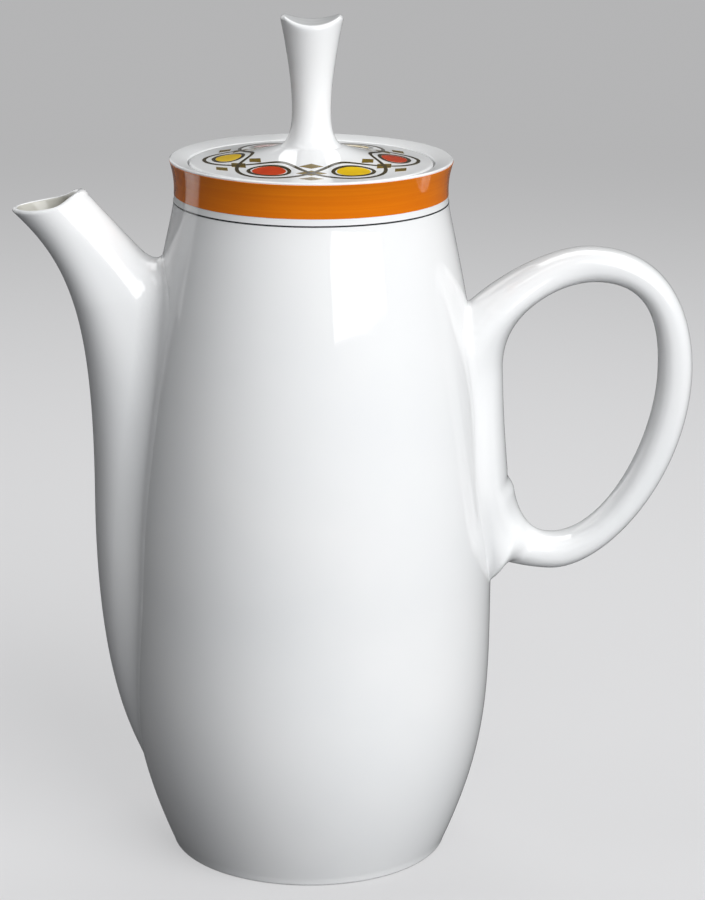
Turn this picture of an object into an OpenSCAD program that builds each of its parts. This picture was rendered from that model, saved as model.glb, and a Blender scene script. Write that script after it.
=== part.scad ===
// Porcelain coffee pot: a hollow turned body with a luted spout and a luted ring handle, and a loose
// lid with a tall knob. Millimetres, +Z up. The origin is on the body's axis where the foot stands;
// the handle lies towards +X and the spout towards -X.

/* [Body] */
// Height of the rim above the table
body_h = 219; // [190:1:260]
// Radius of the foot
foot_r = 43.3; // [36:0.1:48]
// Angle at which the wall leaves the foot, in degrees above the table
foot_lean = 67; // [55:1:80]
// Largest radius of the belly
belly_r = 56.6; // [52:0.1:64]
// Height of the widest place of the belly
belly_z = 91; // [80:1:105]
// Radius where the shoulder runs into the collar
neck_r = 43.4; // [41:0.1:46]
// Height of the collar, from the neck to the rim
collar_h = 22.3; // [18:0.1:28]
// Radius of the rim
rim_r = 42.8; // [42.4:0.1:46]
// How far the curve at the foot keeps its direction
foot_pull = 36.8; // [25:0.1:45]
// How far the belly runs upright below its widest place
belly_pull_down = 38.5; // [25:0.1:45]
// How far the belly runs upright above its widest place
belly_pull_up = 37; // [25:0.1:45]
// How far the shoulder runs straight below the neck
neck_pull = 27.6; // [15:0.1:35]
// Inward slope of the wall at the neck, per millimetre of height
neck_slope = 0.22; // [0.1:0.01:0.3]
// Outward slope of the wall at the rim, per millimetre of height
rim_slope = 0.34; // [0.1:0.01:0.45]
// Thickness of the body's wall
wall = 4.2; // [3:0.1:5]
// Thickness of the floor
floor_t = 4.5; // [3:0.1:7]
// Radius of the corner between floor and wall, inside
floor_round = 14; // [6:1:20]
// Height of the hollow under the foot
foot_hollow = 3.5; // [2:0.1:6]
// Width of the foot's standing ring
foot_ring_w = 4; // [3:0.1:6]

/* [Lid seat] */
// Fall of the rim's top from its outer edge to the lid
rim_fall = 1.2; // [0.4:0.1:2]
// How far the lid's top lies below the rim's outer edge
lid_sink = 1.2; // [0.6:0.1:3]
// Width of the ledge that carries the lid
ledge_w = 4; // [3:0.1:6]
// Thickness of the ledge
ledge_t = 3; // [2:0.1:5]

/* [Lid] */
// Radius of the lid
lid_r = 36.8; // [35.5:0.1:37.2]
// Free gap round the lid in its seat
lid_gap = 0.5; // [0.3:0.1:1]
// Thickness of the lid's plate
lid_t = 3; // [2.4:0.1:5]
// Depth of the lid's flange below the plate
flange_h = 18; // [10:0.5:30]
// Thickness of the flange
flange_t = 2.8; // [2:0.1:4]
// Free gap round the flange inside the ledge
flange_gap = 0.8; // [0.5:0.1:1.5]

/* [Knob] */
// Height of the knob above the lid, at its two raised ends
knob_h = 44; // [35:0.5:55]
// Radius of the knob's stem where it is thinnest
knob_stem_r = 5.95; // [4.5:0.05:7.5]
// Height of the thinnest place above the lid
knob_stem_z = 12.5; // [10:0.5:16]
// Radius of the knob's flared head
knob_head_r = 9.4; // [8:0.1:12]
// Radius of the knob's foot on the lid
knob_foot_r = 12; // [9.5:0.5:16]
// Depth of the saddle in the knob's head
knob_dip = 1.6; // [0.5:0.1:3]

/* [Spout] */
// Distance of the spout's tip from the pot's axis
tip_x = 90.3; // [85:0.1:98]
// Height of the tip above the table
tip_z = 202.2; // [195:0.1:208]
// Distance from the tip to the back of the mouth
mouth_len = 21.2; // [18:0.1:24]
// Width of the mouth across the pot
mouth_w = 20.4; // [16:0.1:24]
// Rise of the mouth from the tip to its back, in degrees
mouth_tilt = 18; // [8:1:25]
// Depth of the saddle in the mouth's edge
mouth_dip = 2; // [0:0.1:4]
// Height at which the spout's front leaves the body
root_z = 30; // [24:1:40]
// Height where the spout stands upright against the body
trough_z = 115; // [105:1:120]
// How far the spout's front stands off the body there
trough_stand = 11; // [9:0.1:15]
// Width of the spout across the pot at its fullest
trough_w = 48; // [40:0.5:52]
// Angle of the free tube, in degrees above the table
tube_lean = 46; // [40:1:52]
// Length over which the front keeps its direction at the root
root_pull = 27.8; // [15:0.1:35]
// Length over which the front stays upright above the trough
rise_pull = 58; // [40:1:62]
// Length over which the front keeps its direction at the tip
tip_pull = 22.7; // [12:0.1:28]
// Length of the straight back of the free tube
tube_back = 36; // [28:0.5:42]
// Depth inside the body at which the back of the trough is cut off
trough_bury = 30; // [24:1:36]
// Thickness of the spout's wall
spout_wall = 3; // [2.2:0.1:4]
// Radius of the rounded lip
lip_round = 0.9; // [0.5:0.05:1.1]

/* [Strainer] */
// Diameter of each strainer hole in the body behind the spout
hole_d = 5.2; // [3:0.1:6]
// Distance between neighbouring holes
hole_pitch = 9; // [8:0.5:11]
// Height of the middle hole
strainer_z = 98; // [88:1:106]

/* [Handle] */
// Distance of the handle's outermost place from the pot's axis
handle_x = 117.4; // [105:0.1:130]
// Height of the outermost place
handle_z = 153; // [145:1:165]
// Height of the handle's top
handle_top = 192.2; // [182:0.1:200]
// Height of the underside of the lower arm
handle_low = 89.8; // [80:0.1:98]
// Distance of the handle's highest place back from its outermost
handle_crest = 32.8; // [28:0.2:36]
// Distance of the handle's lowest place back from its outermost
handle_sag = 41.9; // [32:0.2:46]
// Thickness of the grip at its outermost place
grip_t = 10.4; // [8:0.1:14]
// Thickness of the handle's two arms
arm_t = 11.2; // [8:0.1:14]
// Width of the grip across the pot
grip_w = 16; // [12:0.5:20]
// How far the strip's face stands off the body at its top
strip_stand_top = 8; // [5:0.1:11]
// How far the strip's face stands off the body at its foot
strip_stand_foot = 5.1; // [4:0.1:8]
// Length of the straight face of the strip
strip_len = 33; // [24:0.5:40]
// Width of the strip against the body, near its top
strip_top_w = 32; // [26:0.5:36]
// Width of the strip against the body, near its foot
strip_foot_w = 40; // [30:0.5:44]
// Height of the pointed end of the strip
strip_end = 84.5; // [76:0.5:88]

/* [Decoration] */
// Height of the orange band
band_h = 10.2; // [6:0.1:14]
// Plain glaze left between the band and the rim
band_below_rim = 0.7; // [0.6:0.1:3]
// Plain glaze between the band and the line
line_gap = 1.9; // [1:0.1:4]
// Width of the line
line_w = 0.5; // [0.3:0.1:1.5]
// Thickness of the fired enamel
enamel_t = 0.12; // [0.1:0.01:0.3]

/* [Hidden] */
$fn = 96;

porcelain = [0.93, 0.93, 0.92];
orange_enamel = [0.88, 0.46, 0.03];
black_enamel = [0.06, 0.05, 0.05];

// ---- curves ----

// Point at t, from 0 to 1, on the cubic curve from a to d that leaves towards b and arrives from c
function cubic(a, b, c, d, t) =
    pow(1 - t, 3) * a + 3 * t * pow(1 - t, 2) * b + 3 * t * t * (1 - t) * c + pow(t, 3) * d;

// Unit vector at an angle in degrees
function heading(angle) = [cos(angle), sin(angle)];

// The same vector, one millimetre long
function unit(v) = v / norm(v);

// Points on an arc round a centre, between two angles
function arc(centre, r, from, to, steps) =
    [for (i = [0 : steps]) centre + r * heading(from + (to - from) * i / steps)];

// Value that eases from a to b as t goes from 0 to 1
function ease(a, b, t) = a + (b - a) * (1 - cos(180 * t)) / 2;

// ---- body outline: [radius, height] ----

rim_round = 0.6;
foot_round = 1;
neck_z = body_h - collar_h;
collar_pull = collar_h * 0.35;
rim_edge = [rim_r, body_h - rim_round];

function foot_to_belly(t) =
    cubic([foot_r, foot_round],
          [foot_r, foot_round] + foot_pull * heading(foot_lean),
          [belly_r, belly_z - belly_pull_down],
          [belly_r, belly_z], t);

function belly_to_neck(t) =
    cubic([belly_r, belly_z],
          [belly_r, belly_z + belly_pull_up],
          [neck_r, neck_z] + neck_pull * [neck_slope, -1],
          [neck_r, neck_z], t);

function neck_to_rim(t) =
    cubic([neck_r, neck_z],
          [neck_r, neck_z] + collar_pull * [-neck_slope, 1],
          rim_edge - collar_pull * [rim_slope, 1],
          rim_edge, t);

wall_curve = concat(
    [for (i = [0 : 11]) foot_to_belly(i / 12)],
    [for (i = [0 : 13]) belly_to_neck(i / 14)],
    [for (i = [0 : 10]) neck_to_rim(i / 10)]);

// Radius of the outside of the body at height z
function body_r(z) = lookup(z, [for (p = wall_curve) [p.y, p.x]]);

// Radius of the inside of the body at height z
function cavity_r(z) = body_r(z) - wall;

// ---- lid seat ----

seat_r = lid_r + lid_gap;
throat_r = seat_r - ledge_w;
lid_top = body_h - lid_sink;
ledge_z = lid_top - lid_t;
seat_round = 0.5;
seat_edge_z = body_h - rim_fall;

floor_z = foot_hollow + floor_t;
corner_z = floor_z + floor_round;
corner_r = cavity_r(corner_z) - floor_round;
ledge_root_z = ledge_z - ledge_t - (cavity_r(ledge_z - ledge_t - ledge_w) - throat_r);

foot_arc = arc([foot_r - foot_round, foot_round], foot_round, -90, -30, 2);
rim_arc = arc([rim_r - rim_round, body_h - rim_round], rim_round, 30, 90, 2);

rim_top_points = concat(
    rim_arc,
    arc([seat_r + seat_round, seat_edge_z - seat_round], seat_round, 90, 180, 2));

ledge_points = [
    [seat_r, ledge_z],
    [throat_r, ledge_z],
    [throat_r, ledge_z - ledge_t],
    [cavity_r(ledge_root_z), ledge_root_z]];

cavity_points = [
    for (i = [len(wall_curve) - 1 : -1 : 0])
        let (p = wall_curve[i])
        if (p.y > corner_z + 1 && p.y < ledge_root_z - 1) [p.x - wall, p.y]];

floor_points = concat(
    [for (a = [0 : 15 : 90]) [corner_r + floor_round * cos(a), corner_z - floor_round * sin(a)]],
    [[0, floor_z], [0, foot_hollow]]);

foot_inner_r = foot_r - foot_round - foot_ring_w;

foot_points = concat([[foot_inner_r - foot_hollow * 0.6, foot_hollow], [foot_inner_r, 0]], foot_arc);

// ---- lofts ----

// One closed section of a loft, from its front point f to its back point b, both [x, z], with the
// half width w across the pot; its sides are bent back along the loft by dip
function section(f, b, w, sides, dip = 0) =
    let (mid = (f + b) / 2, half = (f - b) / 2, back = unit([half.y, -half.x]))
    [for (i = [0 : sides - 1])
        let (a = 360 * i / sides, p = mid + half * cos(a) + back * dip * pow(sin(a), 2))
        [p.x, w * sin(a), p.y]];

// Solid whose skin runs through a closed chain of sections
module ring_loft(rings) {
    n = len(rings);
    m = len(rings[0]);
    faces = [for (i = [0 : n - 1], j = [0 : m - 1])
        let (a = i * m + j, b = i * m + (j + 1) % m,
             c = ((i + 1) % n) * m + (j + 1) % m, d = ((i + 1) % n) * m + j)
        each [[a, b, c], [a, c, d]]];
    polyhedron(points = [for (r = rings) each r], faces = faces, convexity = 8);
}

// ---- spout ----

spout_sides = 36;
root_lean = 60;
tip_lean = 44;
trough_front = [body_r(trough_z) + trough_stand, trough_z];
tip = [tip_x, tip_z];
mouth_back = tip + mouth_len * heading(180 - mouth_tilt);
bury_x = body_r(trough_z) - trough_bury;

function spout_front(s) =
    let (root = [body_r(root_z), root_z])
    s < 1
        ? cubic(root, root + root_pull * heading(root_lean), trough_front - [0, root_pull / 2], trough_front, s)
        : cubic(trough_front, trough_front + [0, rise_pull], tip - tip_pull * heading(tip_lean), tip, (s - 1) / 2);

// The back runs upright inside the body, bends out through the wall and ends straight
bend_pull = tube_back * 0.6;
throat_back = mouth_back - tube_back * heading(tube_lean);

function spout_back(s) =
    s < 1
        ? [bury_x, root_z + (trough_z - root_z) * s]
        : s < 2
            ? cubic([bury_x, trough_z], [bury_x, trough_z + tube_back], throat_back - bend_pull * heading(tube_lean),
                    throat_back, s - 1)
            : throat_back + (mouth_back - throat_back) * (s - 2);

function spout_half_w(s) =
    s < 1
        ? ease(trough_w * 0.36, trough_w / 2, s < 0.8 ? s / 0.8 : 1)
        : ease(trough_w / 2, mouth_w / 2, (s - 1) / 2);

// Section of the spout at s, shrunk all round by inset and moved on along the tube by lift
function spout_ring(s, inset, lift = 0) =
    let (f = spout_front(s), b = spout_back(s), in = inset * unit(f - b),
         on = lift * unit([f.y - b.y, b.x - f.x]) * -1,
         dip = mouth_dip * pow(max(0, s - 2), 2))
    section(f - in + on, b + in + on, spout_half_w(s) - inset, spout_sides, dip);

outer_steps = [for (i = [0 : 22]) 3 * i / 22];
spout_rings = concat(
    [for (s = outer_steps) spout_ring(s, 0)],
    [for (a = [30 : 30 : 150]) spout_ring(3, lip_round * (1 - cos(a)), lip_round * sin(a))],
    [for (i = [22 : -1 : 0]) let (s = outer_steps[i])
        spout_ring(s, ease(spout_wall, 2 * lip_round, max(0, s - 2)))]);

// ---- handle ----

handle_sides = 28;
strip_z = handle_z + 2;
strip_foot_z = strip_z - strip_len;
strip_swell = 0.9;
bury = 15;
crest_x = handle_x - handle_crest;
sag_x = handle_x - handle_sag;

outer_right = [handle_x, handle_z];
outer_top = [crest_x, handle_top];
outer_low = [sag_x, handle_low];
hole_right = outer_right - [grip_t, 0];
hole_top = outer_top + [arm_t * 0.2, -arm_t];
hole_low = outer_low + [arm_t * 0.1, arm_t];
strip_high = [body_r(strip_z) + strip_stand_top, strip_z];
strip_low = [body_r(strip_foot_z) + strip_stand_foot, strip_foot_z];
strip_tip = [body_r(strip_end) - strip_stand_foot * 0.4, strip_end];
bury_high = [body_r(strip_z) - bury, strip_z];
bury_low = [body_r(strip_foot_z) - bury, strip_foot_z];

// Corner from a, left upright, to d, reached level; the fills say how far it hugs the corner
function rise_to_level(a, d, fill_a, fill_d, t) =
    cubic(a, [a.x, a.y + (d.y - a.y) * fill_a], [d.x + (a.x - d.x) * fill_d, d.y], d, t);

// Corner from a, left level, to d, reached upright
function level_to_rise(a, d, fill_a, fill_d, t) =
    cubic(a, [a.x + (d.x - a.x) * fill_a, a.y], [d.x, d.y + (a.y - d.y) * fill_d], d, t);

// Edge of the finger hole: right side, top, strip, foot corner and lower arm
function hole_edge(s) =
    s < 1 ? rise_to_level(hole_right, hole_top, 0.3, 0.98, s)
    : s < 2 ? level_to_rise(hole_top, strip_high, 0.4, 0.68, s - 1)
    : s < 3 ? strip_high + (strip_low - strip_high) * (s - 2)
    : s < 4 ? rise_to_level(strip_low + [strip_swell, 0] * min(1, (s - 3) * 4), hole_low, 0.42, 0.7, s - 3)
    : level_to_rise(hole_low, hole_right, 0.53, 0.42, s - 4);

// Outside of the ring; behind the strip it runs inside the body, which cuts it away
function ring_edge(s) =
    s < 1 ? rise_to_level(outer_right, outer_top, 0.32, 0.87, s)
    : s < 2 ? level_to_rise(outer_top, bury_high, 0.38, 0.4, s - 1)
    : s < 3 ? bury_high + (bury_low - bury_high) * (s - 2)
    : s < 3.5 ? bury_low + (strip_tip - bury_low) * (s - 3) * 2
    : s < 4 ? foot_corner((s - 3.5) * 2)
    : level_to_rise(outer_low, outer_right, 0.42, 0.53, s - 4);

// Underside from the strip's pointed end out to the lower arm
function foot_corner(t) =
    let (run = outer_low - strip_tip)
    cubic(strip_tip, strip_tip + [run.x * 0.2, run.y * 1.7], outer_low + [-run.x * 0.5, run.y * 0.45],
          outer_low, t);

function handle_half_w(s) =
    s < 1 ? grip_w / 2
    : s < 2 ? ease(grip_w / 2, strip_top_w / 2, s - 1)
    : s < 3 ? ease(strip_top_w / 2, strip_foot_w / 2, s - 2)
    : s < 3.5 ? ease(strip_foot_w / 2, strip_foot_w * 0.38, (s - 3) * 2)
    : s < 4 ? ease(strip_foot_w * 0.38, grip_w / 2 + 0.5, (s - 3.5) * 2)
    : ease(grip_w / 2 + 0.5, grip_w / 2, s - 4);

handle_steps = 60;
handle_rings = [for (i = [0 : handle_steps - 1])
    let (s = 5 * i / handle_steps)
    section(ring_edge(s), hole_edge(s), handle_half_w(s), handle_sides)];

// ---- knob outline: [radius, height] ----

knob_top_r = 0.9;
knob_waist = [knob_stem_r, lid_top + knob_stem_z];
knob_rim = [knob_head_r, lid_top + knob_h - knob_top_r];
knob_flare = knob_rim.y - knob_waist.y;

knob_points = concat(
    [[0, lid_top]],
    [for (i = [0 : 8])
        cubic([knob_foot_r, lid_top], [knob_stem_r * 1.2, lid_top + knob_stem_z * 0.06],
              knob_waist - [0, knob_stem_z * 0.62], knob_waist, i / 8)],
    [for (i = [1 : 8])
        cubic(knob_waist, knob_waist + [0, knob_flare * 0.38],
              knob_rim - [knob_flare * 0.06, knob_flare * 0.3], knob_rim, i / 8)],
    arc(knob_rim - [knob_top_r, 0], knob_top_r, 30, 90, 2),
    [[0, lid_top + knob_h]]);
saddle_r = (pow(knob_head_r - knob_top_r, 2) + pow(knob_dip, 2)) / (2 * knob_dip);

// ---- sub-parts ----

// The body's outside as one solid, for cutting what is luted to it
module body_form() {
    rotate_extrude() polygon(concat([[0, 0]], foot_arc, wall_curve, rim_arc, [[0, body_h]]));
}

module pot_body() {
    color(porcelain)
        difference() {
            rotate_extrude()
                polygon(concat(wall_curve, rim_top_points, ledge_points, cavity_points, floor_points,
                               foot_points));
            strainer_holes();
        }
}

// Seven holes through the wall behind the spout: one in the middle and six round it
module strainer_holes() {
    for (place = concat([[0, 0]], [for (a = [30 : 60 : 330]) hole_pitch * heading(a)]))
        translate([-body_r(strainer_z) - 3, place.x, strainer_z + place.y])
            rotate([0, 90, 0])
                cylinder(h = wall + 12, d = hole_d);
}

module spout() {
    color(porcelain)
        difference() {
            mirror([1, 0, 0]) ring_loft(spout_rings);
            body_form();
        }
}

module handle() {
    color(porcelain)
        difference() {
            ring_loft(handle_rings);
            body_form();
        }
}

// Thin ring of enamel on the body's wall between two heights
module enamel_ring(low, high) {
    heights = concat([low], [for (p = wall_curve) if (p.y > low && p.y < high) p.y], [high]);
    rotate_extrude()
        polygon(concat(
            [for (z = heights) [body_r(z) + enamel_t, z]],
            [for (i = [len(heights) - 1 : -1 : 0]) [body_r(heights[i]), heights[i]]]));
}

band_top = body_h - band_below_rim;
line_top = band_top - band_h - line_gap;

module orange_band() {
    color(orange_enamel) enamel_ring(band_top - band_h, band_top);
}

module black_line() {
    color(black_enamel) enamel_ring(line_top - line_w, line_top);
}

module lid() {
    flange_r = throat_r - flange_gap;
    flange_z = ledge_z - flange_h;
    edge_round = 0.8;
    foot = flange_t / 2;
    color(porcelain)
        rotate_extrude()
            polygon(concat(
                [[0, lid_top]],
                arc([lid_r - edge_round, lid_top - edge_round], edge_round, 90, 0, 3),
                [[lid_r, ledge_z], [flange_r, ledge_z]],
                arc([flange_r - foot, flange_z + foot], foot, 0, -180, 6),
                [[flange_r - flange_t, ledge_z - 2], [flange_r - flange_t - 2, ledge_z], [0, ledge_z]]));
}

module lid_knob() {
    color(porcelain)
        difference() {
            rotate_extrude() polygon(knob_points);
            translate([0, 0, lid_top + knob_h - knob_dip + saddle_r])
                rotate([90, 0, 0])
                    cylinder(h = 4 * knob_head_r, r = saddle_r, center = true);
        }
}

pot_body();
spout();
handle();
orange_band();
black_line();
lid();
lid_knob();
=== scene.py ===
"""Looks of a tall porcelain coffee pot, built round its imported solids.

The body, the lid and its knob are spun, the spout and the ring handle are lofted and joined to
the body by soft glaze fillets, and the enamel bands and the lid's border lie on the glaze.
Sizes are millimetres, and each finished mesh is scaled to metres.
"""

import logging
import math
from abc import ABC, abstractmethod
from bisect import bisect_right
from dataclasses import dataclass, field
from enum import Enum
from typing import Callable, Iterator, Sequence

import bmesh
import bpy
from mathutils import Matrix, Vector


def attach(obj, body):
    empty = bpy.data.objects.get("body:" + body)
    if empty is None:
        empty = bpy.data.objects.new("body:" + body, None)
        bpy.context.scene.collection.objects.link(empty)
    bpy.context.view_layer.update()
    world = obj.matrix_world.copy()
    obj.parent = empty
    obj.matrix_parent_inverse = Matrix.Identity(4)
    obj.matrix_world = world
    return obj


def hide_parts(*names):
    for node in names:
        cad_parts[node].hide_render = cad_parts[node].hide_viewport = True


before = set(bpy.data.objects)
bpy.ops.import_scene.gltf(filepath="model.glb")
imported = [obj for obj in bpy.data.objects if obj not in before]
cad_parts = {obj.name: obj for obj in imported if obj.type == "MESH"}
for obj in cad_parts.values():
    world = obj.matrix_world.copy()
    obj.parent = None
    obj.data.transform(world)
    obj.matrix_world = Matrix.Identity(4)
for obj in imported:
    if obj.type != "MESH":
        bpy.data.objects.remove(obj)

MM = 0.001
WELD = 1e-4
CREASE = math.radians(38.0)
ROUND = 2.0
AREA_LIGHT_POWER = 4.0

BMesh = bmesh.types.BMesh
Material = bpy.types.Material
Owner = bpy.types.Material | bpy.types.World
Socket = bpy.types.NodeSocket
Pair = tuple[float, float]
Triple = tuple[float, float, float]
Curve = tuple[Vector, Vector, Vector, Vector]

log = logging.getLogger("coffee_pot")


class Ride(Enum):
    """The bodies that pieces ride on."""

    POT = "pot"
    LID = "lid"


class Finish(Enum):
    """The pot's finishes, with their materials' names."""

    GLAZE = "white_porcelain_glaze"
    # Glaze inside the spout's mouth, its grey-cream colour painted shade.
    INNER_GLAZE = "inner_glaze"
    BISCUIT = "bare_foot_biscuit"
    ORANGE = "orange_brushed_enamel"
    DARK = "dark_line_enamel"
    BRICK = "brick_red_enamel"
    MUSTARD = "mustard_enamel"
    OLIVE = "olive_enamel"
    UMBER = "umber_enamel"


# ---- curves ----


def heading(degrees: float) -> Vector:
    """Unit vector at an angle in the upright plane, as (out, up)."""
    return Vector((math.cos(math.radians(degrees)), math.sin(math.radians(degrees))))


def cubic(a: Vector, b: Vector, c: Vector, d: Vector, t: float) -> Vector:
    """Point at t, from 0 to 1, on the curve that leaves a towards b and reaches d from c."""
    u = 1 - t
    return a * u**3 + b * (3 * t * u * u) + c * (3 * t * t * u) + d * t**3


def ease(start: float, end: float, t: float) -> float:
    """Value that goes softly from start to end as t goes from 0 to 1."""
    t = min(max(t, 0.0), 1.0)
    return start + (end - start) * (1 - math.cos(math.pi * t)) / 2


def arc(
    centre: Pair | Vector, radius: float, start: float, end: float, steps: int,
) -> list[Vector]:
    """Points along an arc in the upright plane, from one angle to another, in degrees."""
    turns = (start + (end - start) * i / steps for i in range(steps + 1))
    return [Vector(centre) + radius * heading(turn) for turn in turns]


def run(curve: Curve, steps: int) -> list[Vector]:
    """Points along a curve at even parameters, without its last point."""
    return [cubic(*curve, i / steps) for i in range(steps)]


def bend(a: Vector, leave: Vector, arrive: Vector, d: Vector) -> Curve:
    """Curve from a to d that sets off along one vector and comes in along the other."""
    return a, a + leave, d - arrive, d


def straight(a: Vector, d: Vector) -> Curve:
    """Curve that runs straight and evenly from a to d."""
    return bend(a, (d - a) / 3, (d - a) / 3, d)


def corner(a: Vector, d: Vector, fills: Pair, upright: bool) -> Curve:
    """Curve round a corner between an upright and a level run.

    Args:
        a: Start of the corner.
        d: End of the corner.
        fills: How far it hugs the corner from its start and from its end.
        upright: Whether it leaves upright and arrives level, or the other way round.

    Returns:
        The curve.
    """
    level, rise = Vector((d.x - a.x, 0)), Vector((0, d.y - a.y))
    leave, arrive = (rise, level) if upright else (level, rise)
    return bend(a, leave * fills[0], arrive * fills[1], d)


def span(places: Sequence, at: float, key: Callable | None = None) -> int:
    """End of the span that holds a value, or the span next to it, among rising places."""
    return min(max(bisect_right(places, at, key=key), 1), len(places) - 1)


def between(knots: Sequence[Pair], at: float) -> float:
    """Goes softly from value to value.

    Args:
        knots: Rising places, each with its value.
        at: Place that is asked for.

    Returns:
        The value there.
    """
    index = span(knots, at, key=lambda knot: knot[0])
    (start, first), (end, last) = knots[index - 1], knots[index]
    return ease(first, last, (at - start) / (end - start))


@dataclass(frozen=True)
class Line:
    """Curves end to end, each from one place on the line to the next."""

    places: tuple[float, ...]
    curves: tuple[Curve, ...]

    def at(self, s: float) -> Vector:
        """Finds a point of the line.

        Args:
            s: Place on the line.

        Returns:
            The point there.
        """
        index = span(self.places, s)
        start, end = self.places[index - 1:index + 1]
        return cubic(*self.curves[index - 1], (s - start) / (end - start))


def squared(turn: float, squareness: float) -> Pair:
    """Point on a circle that is pressed towards a square.

    Args:
        turn: Share of a turn round it.
        squareness: How square it is; 2 is round.

    Returns:
        The point, as parts of the radius.
    """
    angle, power = math.tau * turn, 2 / squareness
    out, side = math.cos(angle), math.sin(angle)
    return math.copysign(abs(out) ** power, out), math.copysign(abs(side) ** power, side)


# ---- mesh work ----


def spin_outline(points: list[Vector], steps: int, closed: bool = False) -> BMesh:
    """Turns an outline once round the upright axis.

    Args:
        points: Outline as (radius, height).
        steps: Number of spans round the axis.
        closed: Whether the last point joins the first.

    Returns:
        The turned shell, its faces outwards.
    """
    bm = bmesh.new()
    verts = [bm.verts.new((p.x, 0.0, p.y)) for p in points]
    ends = verts[1:] + (verts[:1] if closed else [])
    edges = [bm.edges.new(pair) for pair in zip(verts, ends)]
    bmesh.ops.spin(
        bm, geom=verts + edges, cent=(0, 0, 0), axis=(0, 0, 1), dvec=(0, 0, 0),
        angle=math.tau, steps=steps, use_merge=True, use_normal_flip=False, use_duplicate=False,
    )
    bmesh.ops.remove_doubles(bm, verts=bm.verts, dist=WELD)
    bmesh.ops.recalc_face_normals(bm, faces=bm.faces)
    return bm


def show(name: str, data: bpy.types.ID) -> bpy.types.Object:
    """Puts a new object in the scene.

    Args:
        name: Name of the object.
        data: Its mesh, light or camera.

    Returns:
        The object.
    """
    obj = bpy.data.objects.new(name, data)
    bpy.context.scene.collection.objects.link(obj)
    return obj


def show_mesh(name: str, bm: BMesh) -> bpy.types.Object:
    """Puts a mesh in the scene, and frees it.

    Args:
        name: Name of the object and its mesh.
        bm: Finished mesh.

    Returns:
        The object.
    """
    mesh = bpy.data.meshes.new(name)
    bm.to_mesh(mesh)
    bm.free()
    return show(name, mesh)


def carved(solid: BMesh, tool: BMesh) -> BMesh:
    """Cuts the tool's space out of the solid, and frees both.

    Args:
        solid: Closed shell that is cut.
        tool: Closed shell that is taken away.

    Returns:
        What is left of the solid.
    """
    uncut, cutter = show_mesh("uncut", solid), show_mesh("cutter", tool)
    cut = uncut.modifiers.new("cut", "BOOLEAN")
    cut.operation, cut.solver, cut.object = "DIFFERENCE", "EXACT", cutter
    left = bmesh.new()
    left.from_object(uncut, bpy.context.evaluated_depsgraph_get())
    for obj in (uncut, cutter):
        mesh = obj.data
        bpy.data.objects.remove(obj)
        bpy.data.meshes.remove(mesh)
    return left


@dataclass(frozen=True)
class Piece:
    """Name of a finished mesh, and what it rides on, stands for and is coated with."""

    name: str
    body: Ride
    slot: str
    node: str = ""
    coats: tuple[Finish, ...] = (Finish.GLAZE,)

    def finish(self, bm: BMesh, materials: dict[Finish, Material]) -> None:
        """Makes the piece's object from its mesh and hands it to the frame.

        Args:
            bm: Finished mesh in millimetres, which is freed.
            materials: Material of each finish.
        """
        for face in bm.faces:
            face.smooth = True
        for edge in bm.edges:
            edge.smooth = edge.calc_face_angle(0.0) < CREASE
        bmesh.ops.scale(bm, vec=(MM, MM, MM), verts=bm.verts)
        obj = show_mesh(self.name, bm)
        for coat in self.coats:
            obj.data.materials.append(materials[coat])
        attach(obj, self.body.value)
        if self.node:
            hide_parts(self.node)
        log.info("%s: %d faces, rides on %s", self.name, len(obj.data.polygons), self.body.value)


Pieces = Iterator[tuple[Piece, BMesh]]


# ---- finishes ----


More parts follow.
